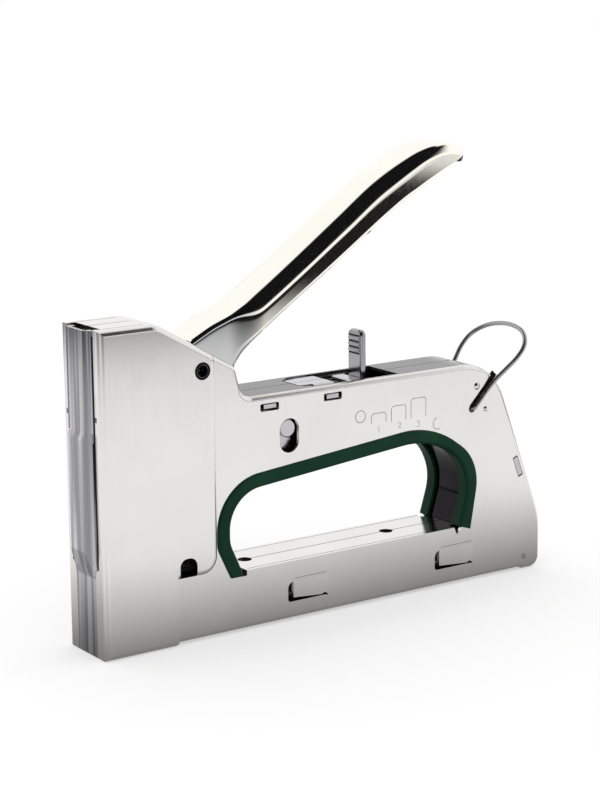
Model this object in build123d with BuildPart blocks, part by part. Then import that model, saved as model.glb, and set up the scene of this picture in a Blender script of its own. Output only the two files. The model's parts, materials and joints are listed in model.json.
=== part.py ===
"""Heavy-duty hand stapler: two pressed-steel half shells around a spring-driven driver.

Millimetres. X runs from the nose face to the rear, Y across the tool, Z up.
The origin is on the ground, under the front face of the nose, in the middle of the tool.
Pieces are modelled at rest: handle up, driver down, adjuster at its lowest power.
"""
import os
from math import atan2, cos, degrees, hypot, pi, radians, sin, tan

from build123d import *

os.makedirs("parts", exist_ok=True)

# ---- driving dimensions ---------------------------------------------------------------
nose_height = 110.0       # ground to the flat top of the nose
deck_height = 81.3        # ground to the top edge of the body
tool_length = 187.8       # nose face to the rear of the shells
body_half = 11.5          # half width over the body sides
panel_step = 1.0          # how far the nose panels stand out from the body sides
sheet = 1.2               # shell steel
edge_round = 1.6          # outside bend of the shells
seam_half = 0.05          # half of the gap where the two shells meet
rail_lift = 0.8           # underside of the rail above the ground
bar_top = 21.5            # top of the lower bar, under the fingers
slope_angle = 30.0        # fall of the nose roof behind its flat top
panel_rear = 44.1         # rear edge of the nose panel
tip_rear = 27.8           # rear edge of the nose panel below its notch
panel_notch = 22.9        # height of that notch

pivot_x, pivot_z = 38.7, nose_height - 17.2     # handle pivot
pivot_pin_d = 6.0
fulcrum_x, fulcrum_z = 73.5, deck_height - 12.8  # power arm fulcrum
fulcrum_pin_d = 6.4
adjuster_x, adjuster_z = 111.0, deck_height - 11.3  # power adjuster pivot
adjuster_pin_d = 4.0
latch_x, latch_z = 180.0, 4.9                   # magazine latch pivot
latch_pin_d = 2.4
bail_x, bail_z = 154.2, deck_height - 16.4      # bail pivot

running = 0.05            # radial clearance of a turning fit
fixed = 0.02              # radial clearance of a pin that stays put
air = 0.3                 # space between pieces that pass each other

# ---- derived sizes --------------------------------------------------------------------
nose_half = body_half + panel_step
inner_half = body_half - sheet        # inside faces of the body sides
roof_front, roof_rear = 22.1, 52.4    # ends of the sloping part of the nose roof
liner_half = inner_half - 0.05        # half width of what just fits between the sides


def roof(x):
    """Height of the nose roof over its sloping part."""
    return nose_height - (x - roof_front) * tan(radians(slope_angle))


def corners(points):
    """Split (u, v, radius) corners into the points and radii of a FilletPolyline."""
    return [(u, v) for u, v, _ in points], [radius for _, _, radius in points]


def side(y):
    """Side-view plane at this y: local x is X, local y is Z, and extrusions run toward -Y."""
    return Plane.XZ.offset(-y)


# ---- shared outlines ------------------------------------------------------------------
rear_slope = 2.6                       # rise over run of the raked rear edge
rear_edge = [(164.3, deck_height), (tool_length, 20.2)]
shell_corners = [
    (0, 0, 0),
    (0, nose_height, 0),
    (roof_front, nose_height, 7.5),
    (roof_rear, roof(roof_rear), 3.0),
    (roof_rear + 3.0, deck_height, 4.5),
    (*rear_edge[0], 20.0),
    (*rear_edge[1], 30.0),
    (tool_length, 0, 4.0),
    (179.8, 0, 0),
    (178.6, rail_lift, 0),
    (tip_rear, rail_lift, 0),
    (tip_rear - 1.0, 0, 0),
]
nose_corners = [
    (0, 0, 0),
    (0, nose_height, 0),
    (roof_front, nose_height, 7.5),
    (panel_rear, roof(panel_rear), 3.0),
    (panel_rear, panel_notch, 6.0),
    (tip_rear, panel_notch, 0),
    (tip_rear, rail_lift, 0),
    (tip_rear - 1.0, 0, 0),
]
# finger opening: the visible inner edge of the grip, from its lower front end round to its rear
opening_top = deck_height - 25.0
hole_corners = [
    (59.8, 8.4, 0),
    (49.2, opening_top - 24.3, 10.0),
    (49.2, opening_top - 7.6, 13.5),
    (132.6, opening_top, 35.0),
    (147.5, opening_top - 7.4, 16.0),
    (153.0, opening_top - 19.7, 17.0),
    (144.3, 8.4, 0),
]
# outer edge of the grip lip on the body side
lip_corners = [
    (54.6, 8.4, 0),
    (panel_rear, opening_top - 25.8, 8.0),
    (panel_rear, opening_top - 3.0, 19.0),
    (135.3, opening_top + 5.4, 35.0),
    (158.2, opening_top - 10.6, 18.0),
    (151.6, 8.4, 0),
]
grip_wrap = 1.25          # grip thickness round the edge of the opening
grip_proud = 0.9          # grip lip above the body side
grip_depth = 5.2          # how far the grip reaches in from its lip
grip_soft = 1.4           # rounding between its lip and its inner face
lip_end = 19.8            # height where the grip lips are cut off at the front
lip_cut = [(140.0, 10.0), (140.0, 24.5), (149.0, 21.6), (160.0, 17.9), (160.0, 10.0)]   # and at the rear
liner_sheet = 1.2

# ---- half shells ----------------------------------------------------------------------
handle_gap_half = 9.0     # half width of the slot in the roof for the handle
deck_slot = (82.0, 122.5)  # length of the adjuster opening in the deck
deck_slot_half = 8.8
plate_half = 8.05         # half width of the front plate between the shells
tip_half = 6.4            # the same below the rib
tip_top = 30.0
driver_back = 3.2         # rear of the driver slot in the roof
floor_half = 7.2          # half width of the magazine opening along the underside
window_centre = (fulcrum_x + 0.25, fulcrum_z - 2.4)
window_size = (8.0, 12.0)
notch_window = (28.7, 35.4, 23.2, 30.0)      # x range and z range
tab_slots = [(65.8, deck_height - 4.2), (92.1, deck_height - 3.9)]     # frame tab slots under the deck
tab_slot_size = (7.6, 2.7)
rear_tab = (176.5, 40.2)
rear_tab_slot = (8.3, 2.4)
rear_tilt = degrees(atan2(rear_slope, -1))
bail_slot_w = 2.9
bail_slot_tip = (bail_x + 11.4, bail_z + 12.0)
lances = [(72.7, 89.9), (137.4, 155.4)]      # x ranges of the pressed-in tongues
lance_z = (6.9, 14.1)
lance_in = 1.8            # how far a tongue is pressed in at its free front end
lance_gap = 3.2           # opening in front of a tongue
bar_holes = [62.4, 123.8]
bar_hole_d = 5.0
bumps = [(bail_x + 2.2, bail_z + 8.1, 1.35), (bail_x + 6.5, bail_z - 0.8, 1.05)]   # bail stops: x, z, radius
bump_height = 0.7
frame_rivet_x, frame_rivet_z = 103.9, adjuster_z - 1.4
body_rivet_x, body_rivet_z = 138.4, bail_z - 3.0
rivet_d = 3.9
rear_mouth_top = 19.4     # top of the magazine mouth in the rear edge

with BuildPart() as left_shell:
    # body side with its rim all round, rounded at the outside bend
    with BuildSketch(side(-seam_half)):
        with BuildLine():
            path, radii = corners(shell_corners)
            FilletPolyline(path, radius=radii, close=True)
        make_face()
    extrude(amount=body_half - seam_half)
    fillet(left_shell.faces().sort_by(Axis.Y)[0].edges(), edge_round)
    # nose panel, standing out from the side
    with BuildPart(mode=Mode.PRIVATE) as nose_block:
        with BuildSketch(side(-seam_half)):
            with BuildLine():
                path, radii = corners(nose_corners)
                FilletPolyline(path, radius=radii, close=True)
            make_face()
        extrude(amount=nose_half - seam_half)
        panel_edges = nose_block.faces().sort_by(Axis.Y)[0].edges()
        rim_edges = panel_edges.filter_by(lambda e: (e @ 0.5).X < tip_rear - 1.5 or (e @ 0.5).Z > 97)
        fillet(rim_edges, edge_round + 0.4)
    add(nose_block.part)
    # hollow inside of the body and of the nose
    with BuildSketch(side(-seam_half)):
        with BuildLine():
            path, radii = corners(shell_corners)
            FilletPolyline(path, radius=radii, close=True)
        make_face()
        offset(amount=-sheet)
    extrude(amount=inner_half - seam_half, mode=Mode.SUBTRACT)
    with BuildSketch(side(-seam_half)):
        with BuildLine():
            path, radii = corners(nose_corners)
            FilletPolyline(path, radius=radii, close=True)
        make_face()
        offset(amount=-sheet)
    extrude(amount=inner_half + panel_step - seam_half, mode=Mode.SUBTRACT)
    # finger opening through the side; the bar keeps its top flange
    with BuildSketch(side(0)):
        with BuildLine():
            path, radii = corners(hole_corners)
            FilletPolyline(path, radius=radii, close=True)
        make_face()
        offset(amount=grip_wrap)
        with Locations(((hole_corners[0][0] + hole_corners[-1][0]) / 2, bar_top)):
            Rectangle(tool_length, bar_top, align=(Align.CENTER, Align.MAX), mode=Mode.SUBTRACT)
    extrude(amount=nose_half, mode=Mode.SUBTRACT)


def slab(x0, x1, y0, y1, z0, z1):
    """Box between two corners."""
    return Pos((x0 + x1) / 2, (y0 + y1) / 2, (z0 + z1) / 2) * Box(abs(x1 - x0), abs(y1 - y0), abs(z1 - z0), mode=Mode.PRIVATE)


def across(x, z, diameter, y0, y1):
    """Round bar across the tool at (x, z), from y0 to y1."""
    return Pos(x, (y0 + y1) / 2, z) * Rot(90, 0, 0) * Cylinder(diameter / 2, abs(y1 - y0), mode=Mode.PRIVATE)


def along(y, z, diameter, x0, x1):
    """Round bar along the tool at (y, z), from x0 to x1."""
    return Pos((x0 + x1) / 2, y, z) * Rot(0, 90, 0) * Cylinder(diameter / 2, abs(x1 - x0), mode=Mode.PRIVATE)


def upright(x, y, diameter, z0, z1):
    """Round bar standing at (x, y), from z0 to z1."""
    return Pos(x, y, (z0 + z1) / 2) * Cylinder(diameter / 2, abs(z1 - z0), mode=Mode.PRIVATE)


def plate(points, y0, y1):
    """Side-view polygon of (x, z, corner radius) between two y values (y1 > y0)."""
    with BuildPart(mode=Mode.PRIVATE) as piece:
        with BuildSketch(side(y1)):
            with BuildLine():
                path, radii = corners(points)
                FilletPolyline(path, radius=radii, close=True)
            make_face()
        extrude(amount=y1 - y0)
    return piece.part


def stadium(x, z, length, width, tilt, y0, y1, corner=None):
    """Slot across the tool at (x, z), its long side tilted from X; square ended if a corner radius is given."""
    with BuildPart(mode=Mode.PRIVATE) as piece:
        with BuildSketch(side(y1)):
            with Locations((x, z)):
                if corner is None:
                    SlotOverall(length, width, rotation=tilt)
                else:
                    RectangleRounded(length, width, corner, rotation=tilt)
        extrude(amount=y1 - y0)
    return piece.part


with BuildPart() as bar_ends:
    # notches in the side at the two ends of the bar
    add(slab(53.6, 55.8, -14, -7.5, bar_top - 1.9, bar_top + 1))
    add(plate([(145.9, bar_top + 1.5, 0), (147.5, bar_top - 2.6, 0.5), (148.5, bar_top - 2.6, 0.5),
               (149.9, bar_top - 0.2, 0), (149.9, bar_top + 1.5, 0)], -14, -7.5))
bar_notches = bar_ends.part

with BuildPart() as left_shell_cuts:
    # slot in the roof for the handle, and the adjuster opening in the deck
    add(slab(32.0, roof_rear + 5.1, -handle_gap_half, 1, deck_height - 2.3, nose_height + 2))
    with BuildSketch(Plane.XY.offset(deck_height - 3)):
        with BuildLine():
            Polyline((82.0, 1), (82.0, -5.0), (87.0, -deck_slot_half), (deck_slot[1], -deck_slot_half),
                     (deck_slot[1], 1), close=True)
        make_face()
    extrude(amount=5)
    # front: seat of the front plate, driver slot in the roof, staple exit
    add(slab(-1, sheet, -plate_half, 1, tip_top, nose_height + 1))
    add(slab(-1, driver_back, -plate_half, 1, nose_height - 3, nose_height + 1))
    add(slab(-1, 3.4, -tip_half, 1, -1, tip_top + 0.01))
    # underside and rear mouth of the magazine
    add(slab(3.4, tool_length + 1, -floor_half, 1, -1, 2.6))
    add(slab(183, tool_length + 1, -7.4, 1, -1, rear_mouth_top))
    # windows and tab slots in the side
    x0, x1, z0, z1 = notch_window
    add(plate([(x0, z0, 0), (x0, z1, 2.8), (x1, z1, 3.0), (x1, z0, 0)], -14, -9))
    add(stadium(*window_centre, window_size[1], window_size[0], 90, -14, -9))
    for spot in tab_slots:
        add(stadium(*spot, *tab_slot_size, 0, -14, -9, corner=0.5))
    add(stadium(*rear_tab, *rear_tab_slot, rear_tilt, -14, -9, corner=0.5))
    # slot that takes the ends of the bail, open at the rear edge
    slot_run = hypot(bail_slot_tip[0] - bail_x, bail_slot_tip[1] - bail_z)
    slot_turn = degrees(atan2(bail_slot_tip[1] - bail_z, bail_slot_tip[0] - bail_x))
    add(stadium(bail_x + slot_run / 2 * cos(radians(slot_turn)), bail_z + slot_run / 2 * sin(radians(slot_turn)),
                slot_run + bail_slot_w, bail_slot_w, slot_turn, -14, -9.6))
    # openings of the two pressed-in tongues
    for x0, x1 in lances:
        add(plate([(x0, lance_z[0], 1), (x0, lance_z[1], 2.5), (x1, lance_z[1], 0.6), (x1, lance_z[0], 0.6)], -14, -9.6))
        add(across(x1 - 0.6, lance_z[0] + 0.3, 1.2, -14, -9.6))
    # notches at the ends of the lower bar, holes along its seam
    add(bar_notches)
    for x in bar_holes:
        add(upright(x, 0, bar_hole_d, bar_top - 3, bar_top + 3))
    # pins and rivets
    add(across(pivot_x, pivot_z, pivot_pin_d, -14, -9))
    add(across(latch_x, latch_z, latch_pin_d, -14, -9))
    for x, z in ((frame_rivet_x, frame_rivet_z), (body_rivet_x, body_rivet_z)):
        add(across(x, z, 2.4 + 2 * fixed, -14, -9))
        add(across(x, z, rivet_d + 2 * fixed, -14, -10.7))

with BuildPart() as left_shell_bar:
    # top flange of the lower bar, rounded over its outer bend
    add(slab(54.0, 149.3, -body_half, -seam_half, bar_top - sheet, bar_top))
    fillet(left_shell_bar.edges().filter_by(Axis.X).sort_by(Axis.Y)[:2].sort_by(Axis.Z)[-1], 1.15)

with BuildPart() as left_shell_tongues:
    for x0, x1 in lances:
        # tongue: flush at its rear end, pressed in at its free front end
        lean = degrees(atan2(lance_in, x1 - x0))
        blank = plate([(x0 + lance_gap, lance_z[0] + 0.8, 0.3), (x0 + lance_gap, lance_z[1] + 1.0, 1.5),
                       (x1 + 1.2, lance_z[1] + 1.0, 0), (x1 + 1.2, lance_z[0] - 0.8, 0), (x1 + 0.3, lance_z[0] - 0.4, 0),
                       (x1 - 1.3, lance_z[0] + 0.9, 0), (x1 - 3.0, lance_z[0] + 0.3, 0)], -body_half, -inner_half)
        add(Pos(x1, -body_half, 0) * Rot(0, 0, -lean) * Pos(-x1, body_half, 0) * blank)
    add(slab(0, tool_length, -body_half - 3, -body_half, 0, 30), mode=Mode.SUBTRACT)

with left_shell:
    add(left_shell_cuts.part, mode=Mode.SUBTRACT)
    add(left_shell_bar.part - bar_notches
        - upright(bar_holes[0], 0, bar_hole_d, bar_top - 3, bar_top + 3)
        - upright(bar_holes[1], 0, bar_hole_d, bar_top - 3, bar_top + 3))
    add(left_shell_tongues.part)
    for x, z, r in bumps:
        ball = (r * r + bump_height * bump_height) / (2 * bump_height)
        dome = Pos(x, -body_half - bump_height + ball, z) * Sphere(ball, mode=Mode.PRIVATE)
        add(dome & slab(x - 3, x + 3, -body_half - 2, -body_half + 0.1, z - 3, z + 3))
left_shell.part.label = "left_shell"
export_step(left_shell.part, "parts/left_shell.step")

with BuildPart() as right_shell:
    add(mirror(left_shell.part, about=Plane.XZ, mode=Mode.PRIVATE))
right_shell.part.label = "right_shell"
export_step(right_shell.part, "parts/right_shell.step")

# ---- front plate: pressed rib that covers the driver -------------------------------------
rib_half = 5.85
rib_proud = 1.73
rib_low_half = 5.4
rib_low_proud = 2.8
rib_step = (73.0, 76.0)
rib_fade = (27.0, 36.0)

def rib_section(half, proud, z0, z1):
    """Front plate with a rib of this half width and height, between two levels."""
    edge = plate_half - fixed
    with BuildPart(mode=Mode.PRIVATE) as piece:
        with BuildSketch(Plane.XY.offset(z0)):
            with BuildLine():
                path, radii = corners([
                    (sheet, -edge, 0), (0, -edge, 0), (0, -half, 1.7), (-proud, -half, 1.3),
                    (-proud, half, 1.3), (0, half, 1.7), (0, edge, 0), (sheet, edge, 0)])
                FilletPolyline(path, radius=radii, close=True)
            make_face()
        extrude(amount=z1 - z0)
    return piece.part


with BuildPart() as front_plate:
    add(rib_section(rib_half, rib_proud, rib_step[1], nose_height - 0.4))
    add(rib_section(rib_low_half, rib_low_proud, tip_top + 0.1, rib_step[1])
        & plate([(sheet, 20, 0), (0, 20, 0), (0, rib_fade[0], 0), (-rib_low_proud, rib_fade[1], 0),
                 (-rib_low_proud, rib_step[0], 0), (-rib_proud, rib_step[1], 0), (sheet, rib_step[1], 0)], -12, 12))
    add(rib_section(rib_low_half, rib_low_proud, 20, tip_top + 0.1)
        & plate([(sheet, 20, 0), (0, 20, 0), (0, rib_fade[0], 0), (-rib_low_proud, rib_fade[1], 0),
                 (sheet, rib_fade[1], 0)], -tip_half + fixed, tip_half - fixed))
    add(slab(0, sheet, -tip_half + fixed, tip_half - fixed, 0, tip_top + 1))
    # channel behind the rib
    add(slab(-rib_proud + sheet, sheet + 1, -rib_half + sheet, rib_half - sheet, rib_step[1] - 2, nose_height), mode=Mode.SUBTRACT)
    add(plate([(sheet + 1, rib_fade[0] + 0.6, 0), (sheet - 1.2, rib_fade[0] + 0.6, 0), (sheet - rib_low_proud, rib_fade[1] + 0.6, 0),
               (sheet - rib_low_proud, rib_step[0] - 0.6, 0), (sheet - rib_proud, rib_step[1] - 0.6, 0),
               (sheet - rib_proud, rib_step[1] + 1, 0), (sheet + 1, rib_step[1] + 1, 0)],
              -rib_low_half + sheet, rib_low_half - sheet), mode=Mode.SUBTRACT)
    # wings tucked behind the front flanges of the shells
    for hand in (-1, 1):
        add(slab(sheet - 0.3, 2.0, hand * 7.0, hand * (plate_half - 0.05), tip_top + 4, nose_height - 6))
        add(slab(sheet + fixed, 2.0, hand * 7.0, hand * (inner_half - 0.5), tip_top + 4, nose_height - 6))
front_plate.part.label = "front_plate"
export_step(front_plate.part, "parts/front_plate.step")

# ---- handle ---------------------------------------------------------------------------
handle_sheet = 1.5
grip_half = 9.5
shank_half = handle_gap_half - 0.75
neck_end, grip_start = 54.0, 66.0    # where the narrow shank begins and ends widening into the grip
shank_bend, grip_bend = 1.8, 4.4     # outside bends between the web and the sides
handle_end = 158.5
tip_round = grip_half                # the tip is a half circle in plan
roller_x = 27.3                      # lift roller, carried by the handle
roller_d = 6.0
roller_pin_d = 3.0
arm_dip = radians(8.4)               # the power arm hangs this far below level at rest
arm_high = 7.0
roller_z = (fulcrum_z - (fulcrum_x - roller_x) * tan(arm_dip) - arm_high / 2 / cos(arm_dip)
            - roller_d / 2 - air)


def on_handle(dx):
    """X of a point of the handle's outline, drawn for a 119.8 mm reach from the pivot."""
    shoulder = 23.5
    if dx <= shoulder:
        return pivot_x + dx
    return pivot_x + shoulder + (dx - shoulder) * (handle_end - pivot_x - shoulder) / (119.8 - shoulder)


# ridge line and side outline of the handle, measured from its pivot
handle_top = [(on_handle(dx), pivot_z + dz) for dx, dz in [
    (-18.7, 0.2), (-4.7, 7.9), (-1.7, 9.4), (2.1, 11.4), (7.3, 13.9), (11.3, 15.3), (15.3, 16.7), (19.3, 18.8),
    (23.5, 21.5), (29.3, 25.3), (39.3, 32.0), (49.3, 38.7), (59.3, 45.4), (69.3, 52.1), (75.3, 55.9), (82.9, 60.3),
    (91.8, 64.6), (100.8, 67.6), (106.3, 68.6), (110.3, 68.7), (113.3, 68.2), (115.8, 67.5), (117.8, 66.7),
    (119.1, 66.1), (119.8, 65.7)]]
handle_side = [(on_handle(dx), pivot_z + dz, radius) for dx, dz, radius in [
    (-1.7, 37.2, 0), (81.3, 82.2, 0), (131.3, 82.2, 0), (131.3, 63.0, 0), (119.9, 64.3, 0), (115.3, 64.4, 5),
    (110.9, 63.5, 5), (106.4, 60.4, 8), (101.9, 57.9, 20), (93.1, 53.2, 30), (84.3, 48.7, 40), (27.4, 11.4, 10),
    (22.4, 7.3, 6), (17.6, 3.5, 3), (15.2, -0.5, 3), (12.1, -5.5, 3), (5.7, -8.2, 4)]]
handle_side += [(roller_x + 4.9, roller_z + 0.8, 2), (roller_x + 3.7, roller_z - 3.3, 2.5),
                (roller_x - 2.9, roller_z - 4.6, 2.5), (roller_x - 4.7, roller_z + 0.2, 2),
                (pivot_x - 7.7, pivot_z - 8.8, 5), (pivot_x - 5.5, pivot_z + 4.2, 2), (pivot_x - 1.7, pivot_z + 7.8, 0)]


def between(line, x):
    """Height of a polyline at x."""
    for (xa, za), (xb, zb) in zip(line, line[1:]):
        if x <= xb:
            return za + (zb - za) * (x - xa) / (xb - xa)
    return line[-1][1]


def eased(x, x0, x1, start, end):
    """Value that eases from start to end between x0 and x1."""
    share = min(1, max(0, (x - x0) / (x1 - x0)))
    return start + (end - start) * (1 - cos(pi * share)) / 2


def grip_width(x):
    """Half width of the handle at x: narrow shank, wider grip, round end."""
    into_tip = max(0, x - (handle_end - tip_round)) / (tip_round + 0.1)
    return eased(x, neck_end, grip_start, shank_half, grip_half) * (1 - into_tip ** 2) ** 0.5


def handle_solid(inset, low):
    """Loft along the handle, inset from its outside, down to a level inside the body."""
    with BuildPart(mode=Mode.PRIVATE) as piece:
        for x, z in handle_top[:-1] if inset else handle_top:
            slope = (between(handle_top, x + 1.5) - between(handle_top, x - 1.5)) / 3 if 36 < x < handle_end - 1.6 else (
                0.55 if x < 40 else -0.6)
            steep = (1 + slope * slope) ** 0.5
            top, half = z - inset * steep, max(grip_width(x) - inset, 0.4)
            bend = min(eased(x, neck_end, grip_start, shank_bend, grip_bend) - inset, half * 0.8)
            with BuildSketch(Plane(origin=(x, 0, 0), x_dir=(0, 1, 0), z_dir=(1, 0, 0))):
                with BuildLine():
                    Polyline((-half + bend, top), (half - bend, top))
                    ThreePointArc((half - bend, top), (half - bend * 0.293, top - bend * steep * 0.293),
                                  (half, top - bend * steep))
                    Polyline((half, top - bend * steep), (half, low), (-half, low), (-half, top - bend * steep))
                    ThreePointArc((-half, top - bend * steep), (-half + bend * 0.293, top - bend * steep * 0.293),
                                  (-half + bend, top))
                make_face()
        loft()
    return piece.part


with BuildPart() as handle:
    add(handle_solid(0, roller_z - 15))
    add(handle_solid(handle_sheet, roller_z - 20), mode=Mode.SUBTRACT)
    add(plate(handle_side, -15, 15), mode=Mode.INTERSECT)
    add(across(pivot_x, pivot_z, pivot_pin_d + 2 * running, -10, 10), mode=Mode.SUBTRACT)
    add(across(roller_x, roller_z, roller_pin_d + 2 * fixed, -10, 10), mode=Mode.SUBTRACT)
handle.part.label = "handle"
export_step(handle.part, "parts/handle.step")

# ---- grips and liner round the finger opening --------------------------------------------
def opening_shape(points, grow, y0, y1, floor):
    """Rounded outline grown by this much, between two y values, cut off below the floor level."""
    with BuildPart(mode=Mode.PRIVATE) as piece:
        with BuildSketch(side(y1)):
            with BuildLine():
                path, radii = corners(points)
                FilletPolyline(path, radius=radii, close=True)
            make_face()
            if grow:
                offset(amount=grow)
            with Locations((tool_length / 2, floor)):
                Rectangle(tool_length + 50, tool_length, align=(Align.CENTER, Align.MAX), mode=Mode.SUBTRACT)
        extrude(amount=y1 - y0)
    return piece.part


lip_out = -body_half - grip_proud
with BuildPart() as soft_opening:
    # the opening, flared into a soft rim where it meets the lip face
    add(slab(hole_corners[1][0] - 15, hole_corners[-2][0] + 15, lip_out - 5, lip_out, 0, deck_height))
    add(opening_shape(hole_corners, 0, lip_out, -5, 5))
    rim = soft_opening.edges().filter_by_position(Axis.Y, lip_out - 0.01, lip_out + 0.01).filter_by(
        lambda e: hole_corners[1][0] - 2 < (e @ 0.5).X < hole_corners[-2][0] + 2 and 5.5 < (e @ 0.5).Z < deck_height - 5)
    fillet(rim, grip_soft)

with BuildPart() as grip_trim_left:
    add(opening_shape(lip_corners, -0.1, lip_out, -body_half - fixed, lip_end))
    fillet(grip_trim_left.faces().sort_by(Axis.Y)[0].edges(), 0.55)
    add(opening_shape(hole_corners, grip_wrap - fixed, -body_half - fixed, lip_out + grip_depth, bar_top + 0.1))
    add(soft_opening.part, mode=Mode.SUBTRACT)
    add(plate([(x, z, 0) for x, z in lip_cut], -14, -5), mode=Mode.SUBTRACT)
grip_trim_left.part.label = "grip_trim_left"
export_step(grip_trim_left.part, "parts/grip_trim_left.step")

with BuildPart() as grip_trim_right:
    add(mirror(grip_trim_left.part, about=Plane.XZ, mode=Mode.PRIVATE))
grip_trim_right.part.label = "grip_trim_right"
export_step(grip_trim_right.part, "parts/grip_trim_right.step")

with BuildPart() as grip_liner:
    add(opening_shape(hole_corners, grip_wrap + 0.05 + liner_sheet, -liner_half, liner_half, bar_top + 0.05))
    add(opening_shape(hole_corners, grip_wrap + 0.05, -12, 12, 5), mode=Mode.SUBTRACT)
grip_liner.part.label = "grip_liner"
export_step(grip_liner.part, "parts/grip_liner.step")

# ---- pivot pins -------------------------------------------------------------------------
with BuildPart() as handle_pivot_pin:
    # slotted spring pin
    add(across(pivot_x, pivot_z, pivot_pin_d - 2 * fixed, -nose_half, nose_half))
    add(across(pivot_x, pivot_z, pivot_pin_d - 2.4, -15, 15), mode=Mode.SUBTRACT)
    add(slab(pivot_x, pivot_x + 4, -15, 15, pivot_z - 0.4, pivot_z + 0.4), mode=Mode.SUBTRACT)
handle_pivot_pin.part.label = "handle_pivot_pin"
export_step(handle_pivot_pin.part, "parts/handle_pivot_pin.step")

roller_half = shank_half - handle_sheet - 0.15
with BuildPart() as lift_roller:
    add(across(roller_x, roller_z, roller_d, -roller_half, roller_half))
    add(across(roller_x, roller_z, roller_pin_d + 2 * running, -9, 9), mode=Mode.SUBTRACT)
    fillet(lift_roller.edges().filter_by(GeomType.CIRCLE).group_by(SortBy.RADIUS)[-1], 0.4)
lift_roller.part.label = "lift_roller"
export_step(lift_roller.part, "parts/lift_roller.step")

with BuildPart() as roller_pin:
    add(across(roller_x, roller_z, roller_pin_d, -shank_half - 0.55, shank_half + 0.55))
roller_pin.part.label = "roller_pin"
export_step(roller_pin.part, "parts/roller_pin.step")

with BuildPart() as fulcrum_pin:
    add(across(fulcrum_x, fulcrum_z, fulcrum_pin_d, -body_half + 0.6, body_half - 0.6))
    chamfer(fulcrum_pin.edges().filter_by(GeomType.CIRCLE), 0.4)
fulcrum_pin.part.label = "fulcrum_pin"
export_step(fulcrum_pin.part, "parts/fulcrum_pin.step")

with BuildPart() as adjuster_pin:
    add(across(adjuster_x, adjuster_z, adjuster_pin_d, -inner_half + 0.7, inner_half - 0.7))
adjuster_pin.part.label = "adjuster_pin"
export_step(adjuster_pin.part, "parts/adjuster_pin.step")

with BuildPart() as latch_pin:
    add(across(latch_x, latch_z, latch_pin_d - 2 * fixed, -body_half, body_half))
latch_pin.part.label = "latch_pin"
export_step(latch_pin.part, "parts/latch_pin.step")

# ---- power arm, driver and bumper -----------------------------------------------------------
arm_half = 2.5
tip_front = 1.0                      # front end of the arm, inside the driver
tip_reach = (fulcrum_x - tip_front) / cos(arm_dip)
tail_x = fulcrum_x + 6.7             # face that pushes the mainspring
spring_z = deck_height - 7.0         # mainspring axis
driver_x = (1.4, 2.6)
driver_half = 6.0


def on_arm(reach, lift):
    """Point this far forward of the fulcrum along the arm and this far above its centre line."""
    return fulcrum_x - reach * cos(arm_dip) - lift * sin(arm_dip), fulcrum_z - reach * sin(arm_dip) + lift * cos(arm_dip)


arm_tip = on_arm(tip_reach, 0)
with BuildPart() as power_arm:
    neck, tip_high = tip_reach - 5.3, 4.0    # the tip is thinner than the beam
    beam = [(*on_arm(0, arm_high / 2), 0), (*on_arm(neck - 4, arm_high / 2), 1.0), (*on_arm(neck, tip_high / 2), 0.8),
            (*on_arm(tip_reach, tip_high / 2), 1.6), (*on_arm(tip_reach, -tip_high / 2), 1.6),
            (*on_arm(neck, -tip_high / 2), 0.8), (*on_arm(neck - 4, -arm_high / 2), 1.0), (*on_arm(0, -arm_high / 2), 0)]
    add(plate(beam, -arm_half, arm_half))
    add(across(fulcrum_x, fulcrum_z, fulcrum_pin_d + 6, -arm_half, arm_half))
    add(plate([(fulcrum_x, fulcrum_z + 6.2, 0), (fulcrum_x + 2.5, spring_z + 4.3, 1), (tail_x, spring_z + 4.3, 1.5),
               (tail_x, spring_z - 3.7, 1.0), (fulcrum_x, fulcrum_z - 4, 0)], -arm_half, arm_half))
    # spring cup on the tail
    add(slab(tail_x - 1.6, tail_x, -4.6, 4.6, spring_z - 3.5, spring_z + 4.1))
    add(across(fulcrum_x, fulcrum_z, fulcrum_pin_d + 2 * running, -15, 15), mode=Mode.SUBTRACT)
power_arm.part.label = "power_arm"
export_step(power_arm.part, "parts/power_arm.step")

with BuildPart() as driver_blade:
    add(slab(*driver_x, -driver_half, driver_half, 0.6, arm_tip[1] + 9.2))
    fillet(driver_blade.edges().filter_by(Axis.X).group_by(Axis.Z)[-1], 2.0)
    # window for the tip of the arm
    add(slab(0, 4, -arm_half - 0.3, arm_half + 0.3, arm_tip[1] - 2.6, arm_tip[1] + 2.9), mode=Mode.SUBTRACT)
driver_blade.part.label = "driver_blade"
export_step(driver_blade.part, "parts/driver_blade.step")

guide_x = (2.75, 4.2)
guide_half = nose_half - sheet - 0.1
guide_z = (22.0, arm_tip[1] - 7.8)
shelf_z = guide_z[1] - 3.0
with BuildPart() as driver_guide:
    add(slab(*guide_x, -guide_half, guide_half, *guide_z))
    for hand in (-1, 1):
        add(slab(guide_x[0], 24.0, hand * (guide_half - 1.4), hand * guide_half, *guide_z))
    # shelf under the bumper, with gussets
    add(slab(guide_x[0], 16.5, -6.0, 6.0, shelf_z - 1.4, shelf_z))
    for hand in (-1, 1):
        add(plate([(guide_x[0], shelf_z - 1, 0), (16.0, shelf_z - 1, 0), (guide_x[0], shelf_z - 11, 0)],
                  *sorted((hand * 6.0, hand * 4.8))))
    add(slab(0, 6, -3.2, 3.2, shelf_z, guide_z[1] + 1), mode=Mode.SUBTRACT)
driver_guide.part.label = "driver_guide"
export_step(driver_guide.part, "parts/driver_guide.step")

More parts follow.
